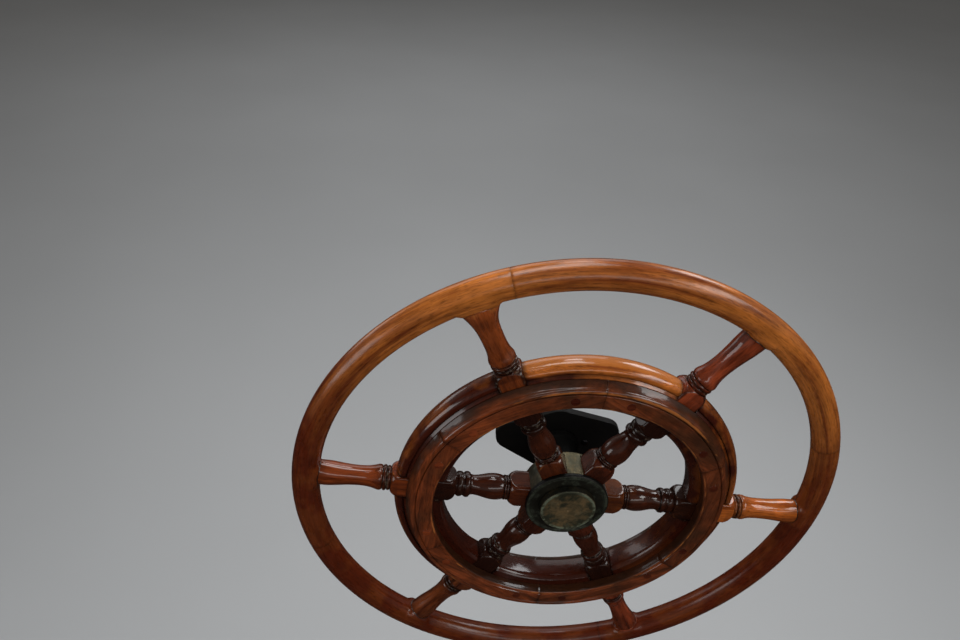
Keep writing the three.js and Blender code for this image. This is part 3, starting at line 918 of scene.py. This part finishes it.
def facing_section(size, side):
    """A facing's moulded section. side is -1 in front and 1 behind."""
    foot = CENTRE.y + side * (FELLOE_HALF + size.fit)
    face = CENTRE.y + side * FACING_FACE
    deep = side * MM
    bead = size.facing_face - 2 * MM
    section = [(size.facing_inner, foot), (size.facing_foot, foot), (size.facing_foot, foot + 1.2 * deep)]
    # A slope runs up to a bead, which a narrow quirk sets off from the face.
    section += [(bead + 3.7 * MM, face - 5 * deep)]
    section += arc((bead, face - 3.3 * deep), (3.3 * MM, 3.3 * deep), -10, 150, 10)
    section += [(bead - 3.1 * MM, face - 1.7 * deep), (bead - 3.4 * MM, face - 0.3 * deep)]
    section += [(bead - 3.8 * MM, face)]
    # The inner edge is set down a little from the face and rounded into the bore.
    section += [(size.facing_inner + 4 * MM, face), (size.facing_inner + 3.7 * MM, face - 0.6 * deep)]
    section += arc((size.facing_inner + 2.6 * MM, face - 3.2 * deep), (2.6 * MM, 2.6 * deep), 90, 180, 6)
    return section


class WHEEL_OT_facings(bpy.types.Operator):
    """Moulds the facings on both sides of the felloe and lets in their plugs"""
    bl_idname = "wheel.facings"
    bl_label = "Facings"

    def execute(self, context):
        size, shades = sizes(), colours()
        wood = new_material("weathered_varnished_mahogany_facing", varnished_wood, tuple(shades.facing),
                            tuple(shades.facing_dark), linear("#452615"), bare=0.36, cloud=0.65, mottle=0.22,
                            matt=0.3, film=0.09, brush=0.1, glow=2.0)
        plug_wood = new_material("varnished_mahogany_plug", varnished_wood, linear("#8A3F1E"),
                                 linear("#662A12"))
        gap = math.degrees(size.fit / 2 / size.facing_inner)
        for side, label in ((-1, "front"), (1, "rear")):
            section = facing_section(size, side)
            for k in range(SPOKES):
                start = FIRST_SPOKE + SPOKE_STEP * (k - 0.5)
                middle = start + SPOKE_STEP / 2
                bm = ring_length(section, start + gap, start + SPOKE_STEP - gap, FELLOE_STEPS, 0.15 * MM)
                along, across = radial(middle + 90), radial(middle)

                def describe(co):
                    out, angle = round_wheel(co)
                    high = abs(co.y - CENTRE.y)
                    # The bead is worn brightest at the top and the upper right.
                    crest = near(out, size.facing_face - 2 * MM, 2.4 * MM) * near(high, FACING_FACE, 3 * MM)
                    crest *= 0.3 + 0.42 * near(apart(angle, 70), 0, 40)
                    quirk = near(out, size.facing_face - 4.9 * MM, 0.7 * MM)
                    quirk *= near(high, FACING_FACE - 1.5 * MM, 2 * MM)
                    # The bore's rounded edge is worn, with a painted highlight along it.
                    bore = near(out, size.facing_inner + 2 * MM, 1.4 * MM)
                    bore *= near(high, FACING_FACE - MM, 1.6 * MM)
                    # The face is darkest to the upper right.
                    dusk = 0.45 * smooth(0.5 + 0.5 * math.cos(math.radians(angle - 30)))
                    turned_on = (angle - start) % 360
                    end = min(turned_on, abs(SPOKE_STEP - turned_on)) * math.radians(out)
                    # The bore wall is painted dark as shade.
                    wall_shade = 0.9 if out < size.facing_inner + 0.5 * MM else 0
                    foot = 0.6 * near(high, FELLOE_HALF + MM, 1.5 * MM) if out > size.facing_foot - MM else 0
                    # The slope beside the felloe's roll is painted dark: painted shade in the hollow, with
                    # some dirt.
                    slope = 0.7 * smooth((out - size.facing_face - 0.8 * MM) / (1.5 * MM))
                    spot = Vector((co.dot(along) + 0.27 * k, co.dot(across) + 0.11 * k, co.y + 0.05 * side))
                    dirt = max(0.5 * near(end, 0, 0.5 * MM), foot, 0.5 * wall_shade, 0.4 * quirk, 0.3 * slope)
                    return spot, dirt, crest + 0.48 * bore, max(wall_shade, dusk, slope)

                mark(bm, describe)
                node = node_at(f"{label}_facing", SPOKES, middle)
                settle(bm, f"{label}_facing_length_{k + 1}", "wheel", [node], wood)
            settle(build_plugs(size, side), f"{label}_plugs", "wheel", [], plug_wood)
        return {"FINISHED"}


PLUG_CIRCLE = 160 * MM  # radius of the circle that the plugs stand on
PLUG_FROM_JOINT = 10.3  # degrees from a facing's joint to the plugs beside it
PLUG_DEPTH = 1.1 * MM
PLUG_PROUD = 0.2 * MM
PLUG_TAPER = 0.35 * MM
PLUG_CELL = 5  # degrees; each plug lies inside one such step round the wheel


def build_plugs(size, side):
    """Wooden plugs over the screws at both ends of every facing, standing just proud of its face."""
    bm = bmesh.new()
    face = CENTRE.y + side * (FACING_FACE + PLUG_PROUD - PLUG_DEPTH / 2)
    upright = Matrix.Rotation(-side * math.pi / 2, 4, "X")
    for k in range(SPOKES):
        joint = FIRST_SPOKE + SPOKE_STEP * (k - 0.5)
        for lean in (-PLUG_FROM_JOINT, PLUG_FROM_JOINT):
            spot = radial(joint + lean) * PLUG_CIRCLE + Vector((0, face, 0))
            bmesh.ops.create_cone(bm, cap_ends=True, segments=28, radius1=size.plug_radius,
                                  radius2=size.plug_radius - PLUG_TAPER, depth=PLUG_DEPTH,
                                  matrix=Matrix.Translation(spot) @ upright)

    def describe(co):
        # The plugs' grain was set by eye, so each crosses the facing's at a lean of its own.
        cell = math.floor(round_wheel(co)[1] / PLUG_CELL)
        lean = Matrix.Rotation(0.9 * noise.noise(Vector((cell, 0, 0))), 3, "Y")
        # Those on the left have stayed red, and the rest have gone as dark as the facings.
        left = smooth((apart(cell * PLUG_CELL, 2) - 100) / 30)
        return lean @ co + Vector((0.02 * cell, 0, 0)), 0, 0.1, 0.85 - 0.7 * left

    mark(bm, describe)
    return bm


class WHEEL_OT_hub(bpy.types.Operator):
    """Casts the bronze hub: the socketed drum, the lipped front plate and the worn cap"""
    bl_idname = "wheel.hub"
    bl_label = "Hub"

    def execute(self, context):
        size, shades = sizes(), colours()
        outer = size.hub_radius
        dark = new_material("dark_patinated_bronze", hub_bronze, tuple(shades.bronze), linear("#4A4636"),
                            handled=0.05, calm=0.7, edge=outer, lip=0.22)
        olive = new_material("olive_patinated_bronze", hub_bronze, linear("#58533C"), tuple(shades.brass),
                             handled=0.05, calm=0.6, aloft=38 * MM)
        worn = new_material("worn_cap_bronze", hub_bronze, linear("#4A4A38"), linear("#967A54"),
                            handled=0.24, calm=0.6, edge=size.cap_radius)
        front = CENTRE.y - size.stock / 2 - size.fit
        drum = [(0, front), (outer - MM, front), (outer, front + MM), (outer, DRUM_BACK - 4 * MM)]
        drum += arc((outer - 4 * MM, DRUM_BACK - 4 * MM), (4 * MM, 4 * MM), 0, 90, 6)
        drum += [(0, DRUM_BACK)]
        sockets = []
        wide = size.stock + 2 * size.fit
        for k in range(SPOKES):
            middle = Vector((SOCKET * MM + outer, front + wide / 2 - 5 * MM, 0))
            place = turn_to(FIRST_SPOKE + SPOKE_STEP * k) @ Matrix.Translation(middle)
            sockets.append(((2 * outer, wide + 10 * MM, wide), place))
        settle(carve(turned(drum), sockets), "socketed_drum", "wheel", ["hub_drum"], olive)
        settle(turned(hub_plate_outline(outer)), "lipped_front_plate", "wheel",
               ["hub_front_plate"], dark)
        settle(turned(cap_outline(size.cap_radius)), "worn_hub_cap", "wheel", ["hub_cap"], worn)
        return {"FINISHED"}


def hub_plate_outline(outer):
    """The front plate dishes slightly from a rounded lip to the cap."""
    low, high = HUB_PLATE_LOW.y, HUB_PLATE_HIGH.y
    outline = [(0, low + 1.6 * MM), (outer - 14 * MM, low + 1.6 * MM), (outer - 5 * MM, low + 0.9 * MM)]
    outline += arc((outer - 2.6 * MM, low + 1.2 * MM), (1.9 * MM, 1.2 * MM), -180, -90, 5)
    outline += arc((outer - 1.5 * MM, low + 2 * MM), (2 * MM, 2 * MM), -90, 0, 5)
    return outline + [(outer + 0.5 * MM, high), (0, high)]


def cap_outline(outer):
    """The cap is a low drum with a worn edge, a shallow hollow face and the turner's centre mark."""
    low, high = CAP_LOW.y, CAP_HIGH.y
    outline = [(0, low + 1.9 * MM), (0.9 * MM, low + 1.6 * MM), (1.6 * MM, low + 1 * MM)]
    outline += [(outer * 0.5, low + 0.9 * MM), (outer - 4.5 * MM, low + 0.7 * MM)]
    outline += [(outer - 2.6 * MM, low + 0.2 * MM)]
    outline += arc((outer - 1.8 * MM, low + 1.2 * MM), (1.8 * MM, 1.2 * MM), -90, 0, 5)
    return outline + [(outer + 0.5 * MM, high), (0, high)]


class WHEEL_OT_bearing(bpy.types.Operator):
    """Turns the shaft, its bush and the housing that stands on the bulkhead plate"""
    bl_idname = "wheel.bearing"
    bl_label = "Shaft and bearing"

    def execute(self, context):
        size, shades = sizes(), colours()
        steel = new_material("turned_stainless_steel", turned_steel, tuple(shades.steel))
        blacked = new_material("blackened_steel", turned_steel, linear("#3A3A3C"))
        enamel = new_material("black_enamel", black_enamel, tuple(shades.black), linear("#1C1B18"),
                              specular=0.09)
        # The housing is painted darker and duller than the plate, as painted shade behind the hub.
        shaded_enamel = new_material("shade_darkened_black_enamel", black_enamel, linear("#0A0A0A"), linear("#100F0E"),
                             specular=0.02)
        bush_bronze = new_material("oiled_bush_bronze", hub_bronze, linear("#6E5C34"), tuple(shades.brass),
                                   handled=0.3)
        ease = 1 * MM
        low, high = SHAFT_LOW.y, SHAFT_HIGH.y
        shaft = [(0, low), (size.shaft_radius - ease, low), (size.shaft_radius, low + ease),
                 (size.shaft_radius, high - ease), (size.shaft_radius - ease, high), (0, high)]
        settle(turned(shaft, 64), "turned_shaft", "wheel", ["shaft"], steel)
        bore = size.shaft_radius + 0.4 * MM
        low, high = BUSH_LOW.y, BUSH_HIGH.y
        bush = [(bore, low), (size.bush_radius - ease, low), (size.bush_radius, low + ease),
                (size.bush_radius, high), (bore, high)]
        settle(turned(bush, 64, True), "flanged_bush", "bulkhead_bearing", ["bearing_bush"],
               bush_bronze)
        low, high = HOUSING_LOW.y, HOUSING_HIGH.y
        inner, nose, foot = size.bush_radius + size.fit, size.housing_radius, HOUSING_HIGH.x
        housing = [(inner, low), *arc((nose - 4 * MM, low + 4 * MM), (4 * MM, 4 * MM), -90, 0, 6)]
        housing += [(nose + 0.3 * MM, low + 14 * MM), (nose + MM, high - 11 * MM)]
        housing += arc((foot + 4 * MM, high - 10.5 * MM), (foot + 3 * MM - nose, 8 * MM), 180, 123, 6)
        housing += [(foot, high - 2.6 * MM), (foot, high), (inner, high)]
        settle(turned(housing, 72, True), "enamelled_housing", "bulkhead_bearing",
               ["bearing_housing"], shaded_enamel)
        settle(build_plate(), "enamelled_plate", "bulkhead_bearing", ["bulkhead_plate"],
               enamel)
        for k in (1, 2):
            settle(build_screw(f"plate_screw_{k}"), f"slotted_screw_{k}", "bulkhead_bearing",
                   [f"plate_screw_{k}"], blacked)
        return {"FINISHED"}


def quadratic(start, pull, end, steps):
    """Points of a curve from start to end, drawn towards pull. What comes before gives the start itself."""
    points = []
    for i in range(1, steps + 1):
        t = i / steps
        points.append(tuple((1 - t) ** 2 * a + 2 * t * (1 - t) * b + t * t * c
                            for a, b, c in zip(start, pull, end)))
    return points


def build_plate():
    """The black plate: a shield with shallow shoulders, short sides and long lower edges to a blunt foot."""
    wide, top, bottom = PLATE_HIGH.x / MM, 54, -48
    left = [(0, top)]
    left += quadratic((0, top), (-6, top), (-12, top - 3), 3)
    left += [(-58, 36)]
    left += quadratic((-58, 36), (-wide, 31), (-wide, 14), 8)
    left += quadratic((-wide, 14), (-wide, 2), (-66, -4), 6)
    left += [(-20, -38)]
    left += quadratic((-20, -38), (-8, bottom), (0, bottom), 6)
    right = [(-x, z) for x, z in reversed(left[1:-1])]
    bm = bmesh.new()
    verts = [bm.verts.new((x * MM, PLATE_HIGH.y, z * MM)) for x, z in left + right]
    back = bm.faces.new(verts)
    made = bmesh.ops.extrude_face_region(bm, geom=[back], use_keep_orig=True)["geom"]
    front = [item for item in made if isinstance(item, bmesh.types.BMVert)]
    bmesh.ops.translate(bm, verts=front, vec=(0, PLATE_LOW.y - PLATE_HIGH.y, 0))
    bmesh.ops.recalc_face_normals(bm, faces=bm.faces)
    face = next(item for item in made if isinstance(item, bmesh.types.BMFace))
    bmesh.ops.bevel(bm, geom=list(face.edges), offset=0.5 * MM, offset_type="OFFSET", affect="EDGES",
                    segments=3, profile=0.5, material=-1, clamp_overlap=True)
    return bm


def build_screw(node):
    """A raised slotted head on the plate."""
    low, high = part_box(node)
    middle = (low + high) / 2
    radius = (high.x - low.x) / 2
    dome = arc((0, high.y - 0.5 * MM), (radius, high.y - low.y - 0.5 * MM), -90, 0, 8)
    bm = turned([*dome, (radius, high.y), (0, high.y)], 32)
    bmesh.ops.translate(bm, verts=bm.verts, vec=(middle.x, 0, middle.z))
    lean = Matrix.Rotation(math.copysign(0.6, middle.x), 4, "Y")
    slot = Matrix.Translation((middle.x, low.y, middle.z)) @ lean
    return carve(bm, [((4 * radius, 1.6 * MM, 1.3 * MM), slot)])


# Camera, lights and floor. The camera was fitted to the photograph's view of the rim, hub and spokes.
CAMERA_PLACE = (-0.1388, -0.6606, 0.6433)
CAMERA_YAW = 3.42  # degrees to the right of straight ahead
CAMERA_DOWN = 35.08
CAMERA_ROLL = 2.34
CAMERA_LENS = 27.94  # millimetres, on a sensor 36 mm wide
FLOOR_LEVEL = -0.85


def aim(yaw, down, roll):
    """The camera's matrix for a view turned right, tilted down and rolled, in degrees."""
    yaw, down, roll = (math.radians(a) for a in (yaw, down, roll))
    ahead = Vector((math.sin(yaw) * math.cos(down), math.cos(yaw) * math.cos(down), -math.sin(down)))
    level = Vector((math.cos(yaw), -math.sin(yaw), 0))
    lift = level.cross(ahead)
    right = math.cos(roll) * level + math.sin(roll) * lift
    up = math.cos(roll) * lift - math.sin(roll) * level
    return Matrix((right, up, -ahead)).transposed().to_4x4()


def area_light(name, place, size, power, tint, target=CENTRE, glossy=True):
    """A soft rectangular light that doesn't show itself to the camera, nor in the varnish unless glossy."""
    light = bpy.data.lights.new(name, "AREA")
    light.shape = "RECTANGLE"
    light.size, light.size_y = size
    light.energy = power
    light.color = tint
    lamp = bpy.data.objects.new(name, light)
    lamp.location = place
    lamp.rotation_euler = (Vector(target) - Vector(place)).to_track_quat("-Z", "Y").to_euler()
    lamp.visible_camera = False
    lamp.visible_glossy = glossy
    bpy.context.scene.collection.objects.link(lamp)


class WHEEL_OT_stage(bpy.types.Operator):
    """Sets the floor, the soft lights and the camera"""
    bl_idname = "wheel.stage"
    bl_label = "Stage"

    def execute(self, context):
        scene = context.scene
        bm = bmesh.new()
        bmesh.ops.create_grid(bm, x_segments=8, y_segments=8, size=14,
                              matrix=Matrix.Translation((0, 0, FLOOR_LEVEL)))
        mesh = bpy.data.meshes.new("studio_floor")
        bm.to_mesh(mesh)
        bm.free()
        mesh.materials.append(new_material("pale_matt_floor", studio_floor))
        floor = bpy.data.objects.new("studio_floor", mesh)
        scene.collection.objects.link(floor)
        # Kept out of the varnish, where it would lay a grey veil over the dark wood.
        floor.visible_glossy = False

        # One long light overhead draws the crisp streaks, and lower ones on every side the soft patches.
        area_light("overhead_light", (-0.1, 0.1, 1.2), (0.8, 0.4), 6.2, (1.0, 0.99, 0.97))
        area_light("high_light", (0.115, 0.73, 1.13), (0.2, 0.25), 1.2, (1.0, 1.0, 1.0))
        area_light("fore_light", (0.9, 0.8, 0.85), (0.4, 0.4), 3.4, (0.96, 0.98, 1.0))
        area_light("side_light", (1.12, -0.54, 0.97), (0.85, 0.4), 6.6, (1.0, 0.99, 0.97))
        area_light("rear_light", (0.5, -1.7, 0.85), (2.0, 0.35), 5.5, (1.0, 0.99, 0.98))
        area_light("bow_light", (-0.2, 1.8, 1.1), (2.0, 0.8), 6, (1.0, 1.0, 1.0))
        area_light("port_light", (-1.1, 0.9, 0.28), (0.5, 0.3), 0.7, (0.97, 0.98, 1.0))
        area_light("left_light", (-1.56, -0.6, 0.36), (0.75, 0.65), 4.5, (0.98, 0.99, 1.0))
        area_light("fill_light", (-0.2, -1.2, 1.5), (1.6, 1.2), 5, (1.0, 0.98, 0.95), CENTRE, False)
        area_light("floor_light", (0, 3.2, 2.2), (3, 2), 30, (1.0, 1.0, 1.0), (0, 3.4, 0), False)

        # The surroundings are palest in a band above eye level, dimmer overhead and dark below.
        world = bpy.data.worlds.new("studio_world")
        world.use_nodes = True
        tree = world.node_tree
        way = add(tree, "TexCoord").outputs["Generated"]
        height = add(tree, "VectorMath", {0: way, 1: (0, 0, 1)}, operation="DOT_PRODUCT")
        rise = add(tree, "MapRange", {0: height.outputs["Value"], 1: -1.0, 2: 1.0, 3: 0.0, 4: 1.0})
        strength = add(tree, "ValToRGB", {"Fac": rise},
                       stops=[(0.45, 0.02), (0.55, 0.28), (0.66, 0.27), (0.76, 0.1), (1.0, 0.1)])
        background = tree.nodes["Background"]
        background.inputs["Color"].default_value = (*linear("#ECE6DE"), 1)
        tree.links.new(strength.outputs[0], background.inputs["Strength"])
        scene.world = world
        # Plain tones, so that the wood keeps its colour in the light.
        scene.view_settings.view_transform = "Standard"

        lens = bpy.data.cameras.new("helm_camera")
        lens.lens = CAMERA_LENS
        lens.sensor_width = 36
        camera = bpy.data.objects.new("helm_camera", lens)
        camera.matrix_world = Matrix.Translation(CAMERA_PLACE) @ aim(CAMERA_YAW, CAMERA_DOWN, CAMERA_ROLL)
        scene.collection.objects.link(camera)
        scene.camera = camera
        return {"FINISHED"}


OPERATORS = (WHEEL_OT_stage, WHEEL_OT_rim, WHEEL_OT_spokes, WHEEL_OT_felloe, WHEEL_OT_facings, WHEEL_OT_hub,
             WHEEL_OT_bearing)


class WHEEL_PT_panel(bpy.types.Panel):
    """Lists the wheel's pieces, sizes and colours in the sidebar"""
    bl_label = "Yacht Steering Wheel"
    bl_idname = "WHEEL_PT_panel"
    bl_space_type = "VIEW_3D"
    bl_region_type = "UI"
    bl_category = "Wheel"

    def draw(self, context):
        for operator in OPERATORS:
            self.layout.operator(operator.bl_idname)
        for group in (sizes(), colours()):
            box = self.layout.box()
            for name in group.__annotations__:
                box.prop(group, name)


CLASSES = (WheelSizes, WheelColours, *OPERATORS, WHEEL_PT_panel)


def register():
    for item in CLASSES:
        bpy.utils.register_class(item)
    bpy.types.Scene.wheel_sizes = PointerProperty(type=WheelSizes)
    bpy.types.Scene.wheel_colours = PointerProperty(type=WheelColours)


def unregister():
    del bpy.types.Scene.wheel_colours
    del bpy.types.Scene.wheel_sizes
    for item in reversed(CLASSES):
        bpy.utils.unregister_class(item)


def main():
    register()
    bpy.ops.wheel.stage()
    bpy.ops.wheel.rim()
    bpy.ops.wheel.spokes()
    bpy.ops.wheel.felloe()
    bpy.ops.wheel.facings()
    bpy.ops.wheel.hub()
    bpy.ops.wheel.bearing()


if __name__ == "__main__":
    main()
